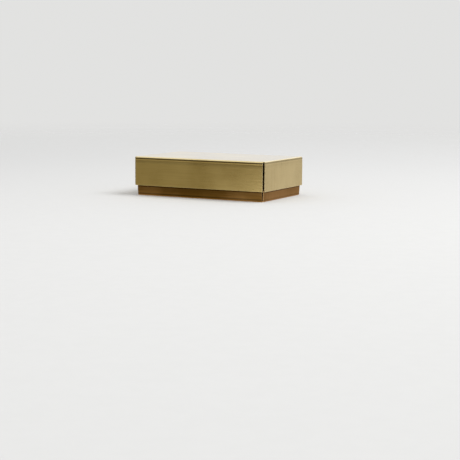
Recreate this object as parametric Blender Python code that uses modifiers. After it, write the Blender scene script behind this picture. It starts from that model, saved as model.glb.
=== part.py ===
"""A decorative box of folded sheet metal: a brass lid over a bronze-brown base.

Both pieces are folded the same way. A flat sheet has a square notch at each corner, as
deep as its bend, and four flanges are folded up around it. The corners are not joined,
so an upright slit stays open at each one. The base stands inside the lid, its rim
carries the lid's top panel, and a low strip of its walls shows under the lid.

Metres, +Z up. The origin is on the surface that the box stands on, under its middle,
and X runs along the box's length.
"""

import math

import bmesh
import bpy
from mathutils import Vector

MM = 0.001

# Lid, measured over its outside
LID_LENGTH = 160 * MM
LID_WIDTH = 97.5 * MM
LID_HEIGHT = 31.8 * MM
LID_SHEET = 1.0 * MM
LID_BEND_INSIDE = 1.1 * MM

# Base, with the height of wall that shows under the lid
REVEAL = 11.0 * MM
BASE_SHEET = 1.0 * MM
BASE_BEND_INSIDE = 0.3 * MM

# The base's end walls lean out from their bends and bow upright by the rim
END_LEAN = math.radians(3.4)

# Play between the base's rim and the lid, at the sides, the ends and the top
SIDE_PLAY = 1.5 * MM
END_PLAY = 0.35 * MM
SEAT_GAP = 0.3 * MM

# Facets of a bend and of a bowed wall
BEND_FACETS = 8
BOW_FACETS = 8

# The sheet's cut edges are broken, and an edge turns more than this only where it is cut
EDGE_BREAK = 0.12 * MM
CUT_EDGE_TURN = math.radians(60)

# Sizes that follow from those above
LID_BEND = LID_SHEET + LID_BEND_INSIDE
BASE_BEND = BASE_SHEET + BASE_BEND_INSIDE
BOX_HEIGHT = REVEAL + LID_HEIGHT
RIM_LENGTH = LID_LENGTH - 2 * (LID_SHEET + END_PLAY)
RIM_WIDTH = LID_WIDTH - 2 * (LID_SHEET + SIDE_PLAY)
RIM_HEIGHT = BOX_HEIGHT - LID_SHEET - SEAT_GAP

# Colours are linear
BRASS = {"name": "satin brass", "colour": (0.85, 0.68, 0.32), "roughness": 0.29}
BRONZE = {"name": "brown bronze", "colour": (0.31, 0.16, 0.04), "roughness": 0.33}

UP = Vector((0, 0, 1))


def clear_scene():
    """Empties the file, so that it holds nothing but the box."""
    for item in list(bpy.data.objects):
        bpy.data.objects.remove(item, do_unlink=True)


def make_collection(name):
    """A collection in the scene that holds the box's pieces."""
    collection = bpy.data.collections.new(name)
    bpy.context.scene.collection.children.link(collection)
    return collection


def make_metal(name, colour, roughness):
    """A satin metal that reflects in its own colour."""
    metal = bpy.data.materials.new(name)
    metal.use_nodes = True
    shader = metal.node_tree.nodes["Principled BSDF"]
    shader.inputs["Base Color"].default_value = (*colour, 1.0)
    shader.inputs["Metallic"].default_value = 1.0
    shader.inputs["Roughness"].default_value = roughness
    return metal


def wall_steps(height, bend, lean):
    """Steps outward and up that take a wall from the end of its bend to its rim.

    The wall leaves the bend at the lean and bows evenly until it is upright.
    """
    rise = height - bend * (1 - math.sin(lean))
    facets = BOW_FACETS if lean else 1
    angles = [lean * (1 - (number + 0.5) / facets) for number in range(facets)]
    facet = rise / sum(math.cos(angle) for angle in angles)
    return [(facet * math.sin(angle), facet * math.cos(angle)) for angle in angles]


def flange_reach(height, bend, lean):
    """How far the rim of a folded flange lies outside its panel's edge."""
    return bend * math.cos(lean) + sum(out for out, up in wall_steps(height, bend, lean))


def last_edge(made):
    """The edge among the new pieces of mesh that an extrusion or a spin returns."""
    return next(item for item in made if isinstance(item, bmesh.types.BMEdge))


def fold_flange(skin, edge, outward, height, bend, lean):
    """Folds a flange up from a panel's edge: a tight bend, then a wall up to the rim."""
    bent = bmesh.ops.spin(
        skin,
        geom=[edge],
        cent=edge.verts[0].co + UP * bend,
        axis=outward.cross(UP),
        angle=math.pi / 2 - lean,
        steps=BEND_FACETS,
    )
    edge = last_edge(bent["geom_last"])
    for out, up in wall_steps(height, bend, lean):
        grown = bmesh.ops.extrude_edge_only(skin, edges=[edge])
        edge = last_edge(grown["geom"])
        bmesh.ops.translate(skin, verts=edge.verts, vec=outward * out + UP * up)


def fold_tray(name, length, width, height, bend, end_lean):
    """The outer skin of a folded tray that stands on its panel, open at the top.

    The length and the width are those over the outside of its rim.
    """
    skin = bmesh.new()
    panel_length = length - 2 * flange_reach(height, bend, end_lean)
    panel_width = width - 2 * flange_reach(height, bend, 0)
    bmesh.ops.create_grid(skin, x_segments=1, y_segments=1, size=0.5)
    bmesh.ops.scale(skin, vec=(panel_length, panel_width, 1), verts=skin.verts)
    bmesh.ops.reverse_faces(skin, faces=skin.faces)
    for edge in list(skin.edges):
        middle = (edge.verts[0].co + edge.verts[1].co) / 2
        lean = end_lean if middle.x else 0
        fold_flange(skin, edge, middle.normalized(), height, bend, lean)
    bmesh.ops.recalc_face_normals(skin, faces=skin.faces)
    mesh = bpy.data.meshes.new(name)
    skin.to_mesh(mesh)
    skin.free()
    return mesh


def make_sheet_piece(mesh, sheet, metal, collection):
    """Gives a skin the thickness of its sheet, inwards, and breaks its cut edges."""
    piece = bpy.data.objects.new(mesh.name, mesh)
    collection.objects.link(piece)
    mesh.materials.append(metal)

    wall = piece.modifiers.new("sheet thickness", "SOLIDIFY")
    wall.thickness = sheet
    wall.offset = -1
    wall.use_even_offset = True
    wall.use_quality_normals = True

    edges = piece.modifiers.new("broken edges", "BEVEL")
    edges.width = EDGE_BREAK
    edges.segments = 1
    edges.limit_method = "ANGLE"
    edges.angle_limit = CUT_EDGE_TURN
    return piece


def make_base(collection):
    """The base: its end walls bow out until they stand just inside the lid's ends."""
    mesh = fold_tray("base", RIM_LENGTH, RIM_WIDTH, RIM_HEIGHT, BASE_BEND, END_LEAN)
    return make_sheet_piece(mesh, BASE_SHEET, make_metal(**BRONZE), collection)


def make_lid(collection):
    """The lid: folded as a tray with upright walls, then turned over onto the base."""
    mesh = fold_tray("lid", LID_LENGTH, LID_WIDTH, LID_HEIGHT, LID_BEND, 0)
    lid = make_sheet_piece(mesh, LID_SHEET, make_metal(**BRASS), collection)
    lid.rotation_euler.x = math.pi
    lid.location.z = BOX_HEIGHT
    return lid


clear_scene()
box = make_collection("Decorative box")
make_base(box)
make_lid(box)
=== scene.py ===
# A decorative box of folded sheet metal: a satin brass lid over a brown bronze base.
import math

import bmesh
import bpy
from mathutils import Matrix, Vector


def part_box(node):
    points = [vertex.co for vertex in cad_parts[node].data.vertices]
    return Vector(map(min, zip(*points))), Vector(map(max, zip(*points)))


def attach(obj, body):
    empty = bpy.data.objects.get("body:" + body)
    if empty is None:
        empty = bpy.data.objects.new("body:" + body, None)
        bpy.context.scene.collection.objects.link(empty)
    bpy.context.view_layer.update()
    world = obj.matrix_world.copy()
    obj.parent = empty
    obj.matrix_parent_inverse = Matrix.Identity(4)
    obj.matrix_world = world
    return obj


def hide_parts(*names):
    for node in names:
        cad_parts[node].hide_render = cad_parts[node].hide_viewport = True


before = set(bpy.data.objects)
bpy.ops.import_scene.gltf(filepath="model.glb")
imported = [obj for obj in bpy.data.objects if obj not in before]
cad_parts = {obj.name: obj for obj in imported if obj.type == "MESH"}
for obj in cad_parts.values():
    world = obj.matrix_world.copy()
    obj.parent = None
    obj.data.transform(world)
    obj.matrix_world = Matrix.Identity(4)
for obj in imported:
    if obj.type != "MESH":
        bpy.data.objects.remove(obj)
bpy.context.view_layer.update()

# Base
# The lower half of the box, a tray folded from one sheet of bronze that is patinated
# brown. The sheet is brushed along its length and notched before it is folded, and its
# corners are left open. It stands on its panel, and the lid hides most of its walls.
MM = 0.001
UP = Vector((0, 0, 1))
BASE_SHEET = 1.0 * MM
BASE_BEND_INSIDE = 0.3 * MM
END_WALL_LEAN = math.radians(3.4)
BEND_FACETS = 12
WALL_FACETS = 8
HOLLOW_START = 0.5 * MM
HOLLOW_WIDTH = 0.6 * MM
HOLLOW_FACETS = 2
HOLLOW_TILT = math.radians(5)
# Along each bend's foot the finish is duller and the colour is painted shade, for the dark the bend would
# mirror: this much on the sides, this much on the ends, over this many facets
DULL_AND_SHADE_ON_SIDES = 1.35
DULL_AND_SHADE_ON_ENDS = 0.40
DULL_AND_SHADE_FACETS = 2.3
EDGE_ROUND = 0.35 * MM
EDGE_FACETS = 3
CUT_EDGE_TURN = math.radians(60)


def flange_strips(height, bend, lean):
    """The strips of a flange from its panel's edge to its rim: how wide, and how steep.

    The bend stops short of square by the lean. The press leaves a shallow hollow past it,
    and the wall then bows until it is upright.
    """
    foot = math.pi / 2 - lean
    turn = foot / BEND_FACETS
    strips = [(2 * bend * math.sin(turn / 2), turn * (number + 0.5)) for number in range(BEND_FACETS)]
    strips += [(HOLLOW_START, foot)]
    strips += HOLLOW_FACETS * [(HOLLOW_WIDTH, foot + HOLLOW_TILT)]
    strips += HOLLOW_FACETS * [(HOLLOW_WIDTH, foot - HOLLOW_TILT)]
    rise = height - sum(width * math.sin(slope) for width, slope in strips)
    slopes = [math.pi / 2 - lean * (1 - (number + 0.5) / WALL_FACETS) for number in range(WALL_FACETS)]
    wall = rise / sum(math.sin(slope) for slope in slopes)
    return strips + [(wall, slope) for slope in slopes]


def flange_reach(strips):
    """How far the rim of a folded flange lies outside its panel's edge."""
    return sum(width * math.cos(slope) for width, slope in strips)


def fold_sheet(length, width, height, bend, end_lean):
    """Cuts a sheet with notched corners, maps its brushing while it is flat, and folds its flanges.

    The attribute "bend" is 1 round the middle of each bend, and "drag" is highest along
    the bend's foot: there the finish is duller, and the colour is painted shade, for the dark
    that the bend's foot would mirror.
    """
    ends = flange_strips(height, bend, end_lean)
    sides = flange_strips(height, bend, 0.0)
    sheet = bmesh.new()
    brushing = sheet.loops.layers.uv.new("sheet")
    bending = sheet.verts.layers.float.new("bend")
    dull_and_shading = sheet.verts.layers.float.new("dull_and_shade")
    bmesh.ops.create_grid(sheet, x_segments=1, y_segments=1, size=0.5)
    panel = (length - 2 * flange_reach(ends), width - 2 * flange_reach(sides), 1)
    bmesh.ops.scale(sheet, vec=panel, verts=sheet.verts)
    flanges = []
    for edge in list(sheet.edges):
        outward = ((edge.verts[0].co + edge.verts[1].co) / 2).normalized()
        at_end = abs(outward.x) > abs(outward.y)
        strips = ends if at_end else sides
        depth = DULL_AND_SHADE_ON_ENDS if at_end else DULL_AND_SHADE_ON_SIDES
        rows = [list(edge.verts)]
        for strip, slope in strips:
            grown = bmesh.ops.extrude_edge_only(sheet, edges=[edge])["geom"]
            edge = next(item for item in grown if isinstance(item, bmesh.types.BMEdge))
            bmesh.ops.translate(sheet, verts=edge.verts, vec=outward * strip)
            round_bend = min(len(rows) / BEND_FACETS, 1)
            dull_and_shaded = depth * (1 - abs(len(rows) - BEND_FACETS) / DULL_AND_SHADE_FACETS)
            for vert in edge.verts:
                vert[bending] = math.sin(math.pi * round_bend)
                vert[dull_and_shading] = min(max(dull_and_shaded, 0), 1)
            rows.append(list(edge.verts))
        flanges.append((outward, strips, rows))
    for face in sheet.faces:
        face.smooth = True
        for loop in face.loops:
            loop[brushing].uv = loop.vert.co.xy
    for outward, strips, rows in flanges:
        slope_before = 0.0
        for number, (strip, slope) in enumerate(strips):
            turn = Matrix.Rotation(slope - slope_before, 3, outward.cross(UP))
            beyond = [vert for row in rows[number + 1:] for vert in row]
            bmesh.ops.rotate(sheet, cent=rows[number][0].co, matrix=turn, verts=beyond)
            slope_before = slope
    bmesh.ops.recalc_face_normals(sheet, faces=sheet.faces)
    return sheet


def finish_sheet(name, skin, sheet, metals):
    """Thickens a folded skin inwards, rounds its cut edges, and gives each side its metal.

    The metals are those of its outside, its inside and its cut edges, in that order.
    """
    mesh = bpy.data.meshes.new(name)
    skin.to_mesh(mesh)
    skin.free()
    for metal in metals:
        mesh.materials.append(metal)
    piece = bpy.data.objects.new(name, mesh)
    bpy.context.scene.collection.objects.link(piece)
    wall = piece.modifiers.new("sheet thickness", "SOLIDIFY")
    wall.thickness = sheet
    wall.offset = -1
    wall.use_even_offset = True
    wall.use_quality_normals = True
    wall.material_offset = 1
    wall.material_offset_rim = 2
    edges = piece.modifiers.new("filed edges", "BEVEL")
    edges.width = EDGE_ROUND
    edges.segments = EDGE_FACETS
    edges.material = 2
    edges.limit_method = "ANGLE"
    edges.angle_limit = CUT_EDGE_TURN
    edges.harden_normals = True
    return piece


# The length and the width of each kind of brush mark, and its depth
HAIR = (18 * MM, 0.16 * MM)
SCRATCH = (50 * MM, 0.45 * MM)
BAND = (220 * MM, 2.5 * MM)
BRUSH_DEPTH = 0.012 * MM

# The size of each kind of patch
PATINA_CLOUD = 45 * MM
MILL_PATCH = 22 * MM
MILL_SPECK = 0.9 * MM
EDGE_NICK = 1.6 * MM

LACQUER_ROUGHNESS = 0.26
# Painted shade: how much of the dark colour is left along each bend's foot
BEND_FOOT_SHADE = (0.12, 0.08, 0.03)
MILL_SHADE = (0.8, 0.8, 0.8)
CUT_SHADE = (0.86, 0.86, 0.86)
BRONZE_LIGHT = (0.38, 0.22, 0.088, 1)
BRONZE_DARK = (0.185, 0.098, 0.020, 1)
# Painted shade: the base's foot, darker for the box's shadow on the floor beside it
BRONZE_FOOT_SHADE = (0.17, 0.090, 0.026, 1)
# Painted shade: the near black painted on the base's wall just under the lid's edge
BRONZE_UNDER_LID_SHADE = (0.05, 0.021, 0.003, 1)
BRONZE_GLANCE = (0.83, 0.66, 0.57, 1)
BRONZE_INSIDE = (0.34, 0.20, 0.10, 1)
BRONZE_CUT = (0.56, 0.37, 0.19, 1)

# The base is painted darker about a line across it, out to the first distance from it, and
# paler beyond the second: painted reflection, standing in for the shade and light its walls
# would mirror. Painted shade under the lid's edge begins and is full this far below that edge.
PAINTED_REFLECTION_LINE = -8 * MM
PAINTED_REFLECTION_SPREAD = (30 * MM, 54 * MM)
PAINTED_REFLECTION_TONE = (-0.10, 0.06)
UNDER_LID_SHADE_BEGINS = 1.7 * MM
UNDER_LID_SHADE_FULL = 0.8 * MM


class Wire:
    """An output of a shader node. Sums and products of wires add Math nodes."""

    def __init__(self, tree, socket=None):
        self.tree = tree
        self.socket = socket

    def add(self, kind, settings, sockets, output=0):
        """A new node: its settings first, then a value or a wire for each socket named."""
        node = self.tree.nodes.new(kind)
        for name, value in settings.items():
            setattr(node, name, value)
        for name, value in sockets.items():
            if isinstance(value, Wire):
                self.tree.links.new(value.socket, node.inputs[name])
            else:
                node.inputs[name].default_value = value
        return Wire(self.tree, node.outputs[output])

    def reckon(self, operation, first, second):
        return self.add("ShaderNodeMath", {"operation": operation}, {0: first, 1: second})

    def __add__(self, other):
        return self.reckon("ADD", self, other)

    def __radd__(self, other):
        return self.reckon("ADD", other, self)

    def __sub__(self, other):
        return self.reckon("SUBTRACT", self, other)

    def __rsub__(self, other):
        return self.reckon("SUBTRACT", other, self)

    def __mul__(self, other):
        return self.reckon("MULTIPLY", self, other)

    def __rmul__(self, other):
        return self.reckon("MULTIPLY", other, self)

    def __abs__(self):
        return self.reckon("ABSOLUTE", self, 0)

    def ease(self, start, end, low=0.0, high=1.0):
        """Goes smoothly from low to high while this value goes from start to end."""
        return self.add(
            "ShaderNodeMapRange",
            {"interpolation_type": "SMOOTHSTEP"},
            {"Value": self, "From Min": start, "From Max": end, "To Min": low, "To Max": high},
        )

    def between(self, first, second):
        """A colour from first to second, as this value goes from 0 to 1.

        Sockets 6 and 7 and output 2 are the Mix node's colours.
        """
        return self.add("ShaderNodeMix", {"data_type": "RGBA"}, {0: self, 6: first, 7: second}, 2)

    def streaks(self, long, wide, seed):
        """Brush marks of about this length and width, along the sheet that this wire maps."""
        stretch = (1 / long, 1 / wide, 1)
        place = self.add(
            "ShaderNodeMapping", {}, {"Vector": self, "Location": (seed, seed, seed), "Scale": stretch}
        )
        return self.add("ShaderNodeTexNoise", {}, {"Vector": place, "Scale": 1.0, "Detail": 2.0})

    def clouds(self, size, seed):
        """Soft patches of about this size."""
        place = self.add("ShaderNodeMapping", {}, {"Vector": self, "Location": (seed, seed, seed)})
        return self.add("ShaderNodeTexNoise", {}, {"Vector": place, "Scale": 1 / size, "Detail": 3.0})


def shaded(colour, left):
    """A colour with this much left of its red, green and blue."""
    return tuple(part * share for part, share in zip(colour, left)) + (1,)


def new_metal(name):
    """A metal with nothing but its shader, and the shader's node tree."""
    metal = bpy.data.materials.new(name)
    metal.use_nodes = True
    shader = metal.node_tree.nodes["Principled BSDF"]
    shader.inputs["Metallic"].default_value = 1.0
    return metal, metal.node_tree, shader


def brushed_sheet(name, light, dark, bent, dulled_and_shaded, roughness, lacquer, seed, covered=None):
    """The outside of a sheet: brushed along its length, with a colour of its own at its bends:
    rubbed wear on the lid, and painted shade at the base's foot.

    "dulled" is how much the line at each bend's foot is dulled and painted with shade, and
    "lacquer" how much clear finish the sheet has. "covered" is the height from which another
    piece covers it: such a sheet is painted darker about a line across it and paler towards its
    ends, a painted reflection, and painted near black with shade from just below that height up.
    """
    metal, tree, shader = new_metal(name)
    sheet = Wire(tree).add("ShaderNodeUVMap", {"uv_map": "sheet"}, {})
    solid = Wire(tree).add("ShaderNodeTexCoord", {}, {}, "Object")
    bend = Wire(tree).add("ShaderNodeAttribute", {"attribute_name": "bend"}, {}, "Fac")
    dull_and_shade = Wire(tree).add("ShaderNodeAttribute", {"attribute_name": "dull_and_shade"}, {}, "Fac")
    hairs = sheet.streaks(*HAIR, seed)
    scratches = sheet.streaks(*SCRATCH, seed + 3)
    bands = sheet.streaks(*BAND, seed + 7)
    patina = solid.clouds(PATINA_CLOUD, seed + 11)
    tone = 0.35 * scratches + 0.15 * bands + 0.65 * patina + 0.15 * hairs
    # At the bends: rubbed wear on the lid, and painted shade at the base's foot
    wear_and_foot_shade = bend * patina.ease(0.35, 0.6, 0.3, 0.8)
    if covered:
        # Painted reflection: darker about a line across the base and paler towards its ends
        along = sheet.add("ShaderNodeSeparateXYZ", {}, {0: sheet}, "X")
        tone = tone + abs(along - PAINTED_REFLECTION_LINE).ease(*PAINTED_REFLECTION_SPREAD, *PAINTED_REFLECTION_TONE)
    colour = wear_and_foot_shade.between(tone.ease(0.45, 0.85).between(dark, light), bent)
    # Painted shade along each bend's foot, for the dark that the bend would mirror
    colour = (dulled_and_shaded * dull_and_shade).between(colour, shaded(dark, BEND_FOOT_SHADE))
    if covered:
        # Painted shade: the base's wall is painted near black from just below the lid's edge upward, for
        # the shade under the lid
        height = solid.add("ShaderNodeSeparateXYZ", {}, {0: solid}, "Z")
        under_lid_shade = height.ease(covered - UNDER_LID_SHADE_BEGINS, covered - UNDER_LID_SHADE_FULL)
        colour = under_lid_shade.between(colour, BRONZE_UNDER_LID_SHADE)
        shader.inputs["Specular Tint"].default_value = BRONZE_GLANCE
    # The noises lie about a half, so what they add on average is taken off first
    gloss = roughness - 0.09 + 0.08 * hairs + 0.04 * scratches + 0.06 * patina - 0.04 * wear_and_foot_shade + 0.06 * dull_and_shade
    relief = 0.6 * hairs + 0.4 * scratches
    normal = relief.add(
        "ShaderNodeBump", {}, {"Height": relief, "Strength": 0.5, "Distance": BRUSH_DEPTH}
    )
    film = patina.ease(0.3, 0.7, lacquer, 0.85 * lacquer) * (1 - 0.7 * dulled_and_shaded * dull_and_shade)
    tree.links.new(colour.socket, shader.inputs["Base Color"])
    tree.links.new(gloss.socket, shader.inputs["Roughness"])
    tree.links.new(normal.socket, shader.inputs["Normal"])
    tree.links.new(film.socket, shader.inputs["Coat Weight"])
    shader.inputs["Coat Roughness"].default_value = LACQUER_ROUGHNESS
    return metal


def mill_sheet(name, colour, roughness, seed):
    """The inside of a sheet, as it left the rolls: duller and unbrushed."""
    metal, tree, shader = new_metal(name)
    solid = Wire(tree).add("ShaderNodeTexCoord", {}, {}, "Object")
    patches = solid.clouds(MILL_PATCH, seed)
    specks = solid.clouds(MILL_SPECK, seed + 5)
    tone = (0.7 * patches + 0.3 * specks).ease(0.35, 0.65).between(shaded(colour, MILL_SHADE), colour)
    gloss = roughness - 0.06 + 0.12 * patches
    tree.links.new(tone.socket, shader.inputs["Base Color"])
    tree.links.new(gloss.socket, shader.inputs["Roughness"])
    return metal


def cut_edge(name, colour, seed):
    """The sheet's cut edges, filed smooth: brighter than its faces."""
    metal, tree, shader = new_metal(name)
    solid = Wire(tree).add("ShaderNodeTexCoord", {}, {}, "Object")
    nicks = solid.clouds(EDGE_NICK, seed)
    tone = nicks.ease(0.35, 0.6).between(shaded(colour, CUT_SHADE), colour)
    gloss = 0.20 + 0.16 * nicks
    tree.links.new(tone.socket, shader.inputs["Base Color"])
    tree.links.new(gloss.socket, shader.inputs["Roughness"])
    return metal


base_low, base_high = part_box("base")
base_size = base_high - base_low
lid_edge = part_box("lid")[0].z
base_skin = fold_sheet(
    base_size.x, base_size.y, base_size.z, BASE_SHEET + BASE_BEND_INSIDE, END_WALL_LEAN
)
base_outside = brushed_sheet(
    "brown bronze outside",
    light=BRONZE_LIGHT,
    dark=BRONZE_DARK,
    bent=BRONZE_FOOT_SHADE,
    dulled_and_shaded=0.2,
    roughness=0.33,
    lacquer=0.05,
    seed=68,
    covered=lid_edge,
)
base_inside = mill_sheet("brown bronze inside", BRONZE_INSIDE, roughness=0.50, seed=51)
base_cut = cut_edge("brown bronze cut edge", BRONZE_CUT, seed=62)
base = finish_sheet("bronze_base", base_skin, BASE_SHEET, [base_outside, base_inside, base_cut])
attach(base, "root")
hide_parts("base")

# Lid
# The upper half of the box, folded from one sheet of brass in the same way and turned
# over. It is brushed along the box's length too, with a clear satin finish. It drops
# over the base until its panel rests on the base's rim.
LID_SHEET = 1.0 * MM
LID_BEND_INSIDE = 1.1 * MM
LID_LEAN = 0.0
BRASS_LIGHT = (0.94, 0.76, 0.370, 1)
BRASS_DARK = (0.75, 0.578, 0.240, 1)
BRASS_BENT = (0.91, 0.76, 0.41, 1)
BRASS_INSIDE = (0.70, 0.55, 0.28, 1)
BRASS_CUT = (0.94, 0.81, 0.50, 1)

lid_low, lid_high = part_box("lid")
lid_size = lid_high - lid_low
lid_skin = fold_sheet(lid_size.x, lid_size.y, lid_size.z, LID_SHEET + LID_BEND_INSIDE, LID_LEAN)
turn_over = Matrix.Rotation(math.pi, 3, "X")
bmesh.ops.rotate(lid_skin, cent=(0, 0, 0), matrix=turn_over, verts=lid_skin.verts)
bmesh.ops.translate(lid_skin, verts=lid_skin.verts, vec=UP * lid_high.z)
lid_outside = brushed_sheet(
    "satin brass outside",
    light=BRASS_LIGHT,
    dark=BRASS_DARK,
    bent=BRASS_BENT,
    dulled_and_shaded=1.0,
    roughness=0.29,
    lacquer=0.9,
    seed=10,
)
lid_inside = mill_sheet("satin brass inside", BRASS_INSIDE, roughness=0.45, seed=21)
lid_cut = cut_edge("satin brass cut edge", BRASS_CUT, seed=32)
lid = finish_sheet("brass_lid", lid_skin, LID_SHEET, [lid_outside, lid_inside, lid_cut])
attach(lid, "root")
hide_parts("lid")

# Floor
# A wide sheet of pale paper that the box stands on. Its colour is painted palest in a pool of
# light in front of the box, a painted pool of light, and it fades out towards its rim, so that
# no edge or horizon shows.
FLOOR_RADIUS = 2.0
FLOOR_FACETS = 96
FADE_START = 0.25
POOL_OF_LIGHT = (0.37, -0.71, 0.0)
POOL_SPREAD = (0.45, 1.5)
FIBRE = 9 * MM
PAPER = (0.83, 0.83, 0.82, 1)
PAPER_SHADE = (0.82, 0.82, 0.81, 1)
PAPER_FAR = (0.77, 0.77, 0.765, 1)


def distance(ground, place):
    """How far each point of the ground lies from a place."""
    return ground.add("ShaderNodeVectorMath", {"operation": "DISTANCE"}, {0: ground, 1: place}, "Value")


disc = bmesh.new()
bmesh.ops.create_circle(disc, cap_ends=True, segments=FLOOR_FACETS, radius=FLOOR_RADIUS)
floor_mesh = bpy.data.meshes.new("floor")
disc.to_mesh(floor_mesh)
disc.free()
floor = bpy.data.objects.new("floor", floor_mesh)
bpy.context.scene.collection.objects.link(floor)
paper = bpy.data.materials.new("pale paper")
paper.use_nodes = True
paper_tree = paper.node_tree
paper_shader = paper_tree.nodes["Principled BSDF"]
paper_shader.inputs["Roughness"].default_value = 0.9
paper_shader.inputs["Specular IOR Level"].default_value = 0.1
ground = Wire(paper_tree).add("ShaderNodeTexCoord", {}, {}, "Object")
fibres = ground.clouds(FIBRE, 5).ease(0.3, 0.7).between(PAPER_SHADE, PAPER)
# Painted light: the paper is painted darker away from a pool of light in front of the box
paper_colour = distance(ground, POOL_OF_LIGHT).ease(*POOL_SPREAD).between(fibres, PAPER_FAR)
paper_tree.links.new(paper_colour.socket, paper_shader.inputs["Base Color"])
faded = ground.add(
    "ShaderNodeMixShader",
    {},
    {
        0: distance(ground, (0, 0, 0)).ease(FADE_START, FLOOR_RADIUS),
        1: Wire(paper_tree, paper_shader.outputs[0]),
        2: ground.add("ShaderNodeBsdfTransparent", {}, {}),
    },
)
paper_tree.links.new(faded.socket, paper_tree.nodes["Material Output"].inputs["Surface"])
floor_mesh.materials.append(paper)
floor.visible_glossy = False
floor.visible_shadow = False

# Light
# A pale studio under a large soft light. What the metal mirrors is set by direction: the
# floor, dim walls, a bright backdrop and window behind the box, a pale ceiling, and the
# unlit side of the room in front of the box, which gives the near face its olive.
BACKDROP = (0.76, 0.76, 0.75, 1)
EVEN_LIGHT = (0.66, 0.66, 0.66, 1)
UNDER_BOX = (0.15, 0.145, 0.13, 1)
FLOOR_NEAR = (1.10, 1.03, 0.92, 1)
FLOOR_BACK = (0.76, 0.73, 0.67, 1)
FLOOR_SIDE = (0.37, 0.35, 0.32, 1)
FLOOR_UNLIT = (0.150, 0.125, 0.064, 1)
NEAR_UNLIT = (0.80, 0.68, 0.36, 1)
WALLS = (0.36, 0.34, 0.31, 1)
ROOM_UNLIT = (0.10, 0.085, 0.05, 1)
PALE_BACKDROP = (0.83, 0.88, 1.00, 1)
WINDOW = (1.15, 1.15, 1.15, 1)
CEILING = (0.95, 0.95, 0.95, 1)

# Directions are in degrees, as azimuth and elevation. A spread goes from where a thing
# begins to where it is full.
UNLIT_AZIMUTH = -42
UNLIT_SPREAD = (46, 24)
FLOOR_BACK_SPREAD = (140, 170)
NEAR_FLOOR_SPREAD = (-86, -58)
FAR_FLOOR_SPREAD = (-24, -7)
HORIZON_SPREAD = (-3, 4)
CEILING_SPREAD = (34, 48)
PALE_BACKDROP_MIDDLE = (208, 8)
PALE_BACKDROP_SPREAD = (44, 18)
WINDOW_MIDDLE = (188, 32)
WINDOW_SPREAD = (26, 9)


def towards(azimuth, elevation):
    """The direction to a place in the studio; azimuth 0 is in front of the box, and 90 to its right."""
    turn = math.radians(azimuth)
    rise = math.radians(elevation)
    level = math.cos(rise)
    return level * math.sin(turn), -level * math.cos(turn), math.sin(rise)


def patch(way, middle, edge, full):
    """0 beyond the edge, in degrees from a direction, and 1 where the patch is full."""
    near = way.add(
        "ShaderNodeVectorMath", {"operation": "DOT_PRODUCT"}, {0: way, 1: towards(*middle)}, "Value"
    )
    return near.ease(math.cos(math.radians(edge)), math.cos(math.radians(full)))


# The studio shows each kind of ray something else, so no map of it is sampled as a light
studio = bpy.data.worlds.new("studio")
bpy.context.scene.world = studio
studio.use_nodes = True
studio.cycles.sampling_method = "NONE"
studio_tree = studio.node_tree
way = Wire(studio_tree).add("ShaderNodeTexCoord", {}, {}, "Object")
parts = way.add("ShaderNodeSeparateXYZ", {}, {0: way}).socket.node.outputs
way_x, way_y, way_z = (Wire(studio_tree, part) for part in parts)
degree = math.degrees(1)
azimuth = way.reckon("ARCTAN2", way_x, -1 * way_y) * degree
elevation = way.reckon("ARCSINE", way_z, 0) * degree
unlit = abs(azimuth - UNLIT_AZIMUTH).ease(*UNLIT_SPREAD)
lit_floor = abs(azimuth).ease(*FLOOR_BACK_SPREAD).between(FLOOR_SIDE, FLOOR_BACK)
far_floor = unlit.between(lit_floor, FLOOR_UNLIT)
near_floor = unlit.between(FLOOR_NEAR, NEAR_UNLIT)
low = elevation.ease(*FAR_FLOOR_SPREAD).between(near_floor, far_floor)
low = elevation.ease(*NEAR_FLOOR_SPREAD).between(UNDER_BOX, low)
high = unlit.between(WALLS, ROOM_UNLIT)
high = elevation.ease(*CEILING_SPREAD).between(high, CEILING)
high = patch(way, PALE_BACKDROP_MIDDLE, *PALE_BACKDROP_SPREAD).between(high, PALE_BACKDROP)
high = patch(way, WINDOW_MIDDLE, *WINDOW_SPREAD).between(high, WINDOW)
mirrored = elevation.ease(*HORIZON_SPREAD).between(low, high)
camera_ray = Wire(studio_tree).add("ShaderNodeLightPath", {}, {}, "Is Camera Ray")
glossy_ray = Wire(studio_tree, camera_ray.socket.node.outputs["Is Glossy Ray"])
seen = camera_ray.between(glossy_ray.between(EVEN_LIGHT, mirrored), BACKDROP)
studio_tree.links.new(seen.socket, studio_tree.nodes["Background"].inputs["Color"])

# The soft light stands high to the right, a little behind the box
SOFTBOX_SIDE = 1.9
SOFTBOX_WATTS = 66.0
SOFTBOX_DIRECTION = (104, 52)
SOFTBOX_DISTANCE = 3.5

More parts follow.
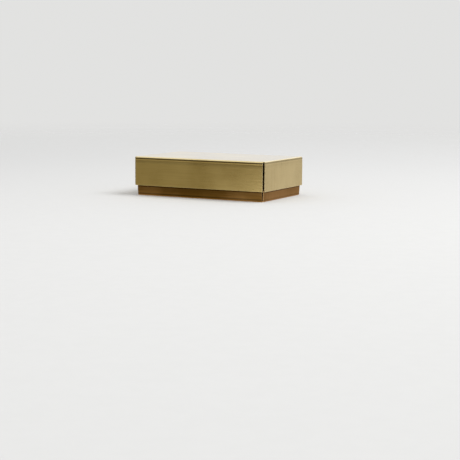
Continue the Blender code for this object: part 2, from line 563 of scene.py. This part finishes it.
softbox = bpy.data.lights.new("softbox", "AREA")
softbox.shape = "SQUARE"
softbox.size = SOFTBOX_SIDE
softbox.energy = SOFTBOX_WATTS
softbox_stand = bpy.data.objects.new("softbox", softbox)
bpy.context.scene.collection.objects.link(softbox_stand)
softbox_stand.location = Vector(towards(*SOFTBOX_DIRECTION)) * SOFTBOX_DISTANCE
softbox_stand.rotation_euler = softbox_stand.location.to_track_quat("Z", "Y").to_euler()
softbox_stand.visible_glossy = False

# A small pale card stands low in front of the box and is mirrored only in its metal. It
# brightens the near face towards its lower right. Metal doesn't mirror the floor here, so
# the card may stand lower than it.
CARD_WIDTH = 0.30
CARD_HEIGHT = 0.14
CARD_WATTS = 0.15
CARD_PLACE = (0.075, -0.36, -0.085)

card = bpy.data.lights.new("card", "AREA")
card.shape = "RECTANGLE"
card.size = CARD_WIDTH
card.size_y = CARD_HEIGHT
card.energy = CARD_WATTS
card_stand = bpy.data.objects.new("card", card)
bpy.context.scene.collection.objects.link(card_stand)
card_stand.location = CARD_PLACE
card_stand.rotation_euler = (math.pi / 2, 0, 0)
card_stand.visible_camera = False
card_stand.visible_diffuse = False

# Camera
# A long lens a little above the box, looking slightly down past its near right corner.
# Its focal length and the picture's side are in pixels.
CAMERA_AZIMUTH = math.radians(27.8)
CAMERA_PITCH = math.radians(7.53)
CAMERA_ROLL = math.radians(0.33)
CAMERA_DISTANCE = 1347.5 * MM
CAMERA_HEIGHT = 138.7 * MM
BOX_LEFT_OF_VIEW = 12.6 * MM
FOCAL_PIXELS = 1219
PICTURE_PIXELS = 460
FARTHEST_SEEN = 20

lens = bpy.data.cameras.new("camera")
lens.sensor_width = 36
lens.lens = lens.sensor_width * FOCAL_PIXELS / PICTURE_PIXELS
lens.clip_end = FARTHEST_SEEN
camera = bpy.data.objects.new("camera", lens)
bpy.context.scene.collection.objects.link(camera)
turn_round = Matrix.Rotation(CAMERA_AZIMUTH, 4, "Z")
look_down = Matrix.Rotation(math.pi / 2 - CAMERA_PITCH, 4, "X")
roll = Matrix.Rotation(CAMERA_ROLL, 4, "Z")
stand = Matrix.Translation((BOX_LEFT_OF_VIEW, -CAMERA_DISTANCE, CAMERA_HEIGHT))
camera.matrix_world = turn_round @ stand @ look_down @ roll
bpy.context.scene.camera = camera
bpy.context.scene.view_settings.view_transform = "Standard"
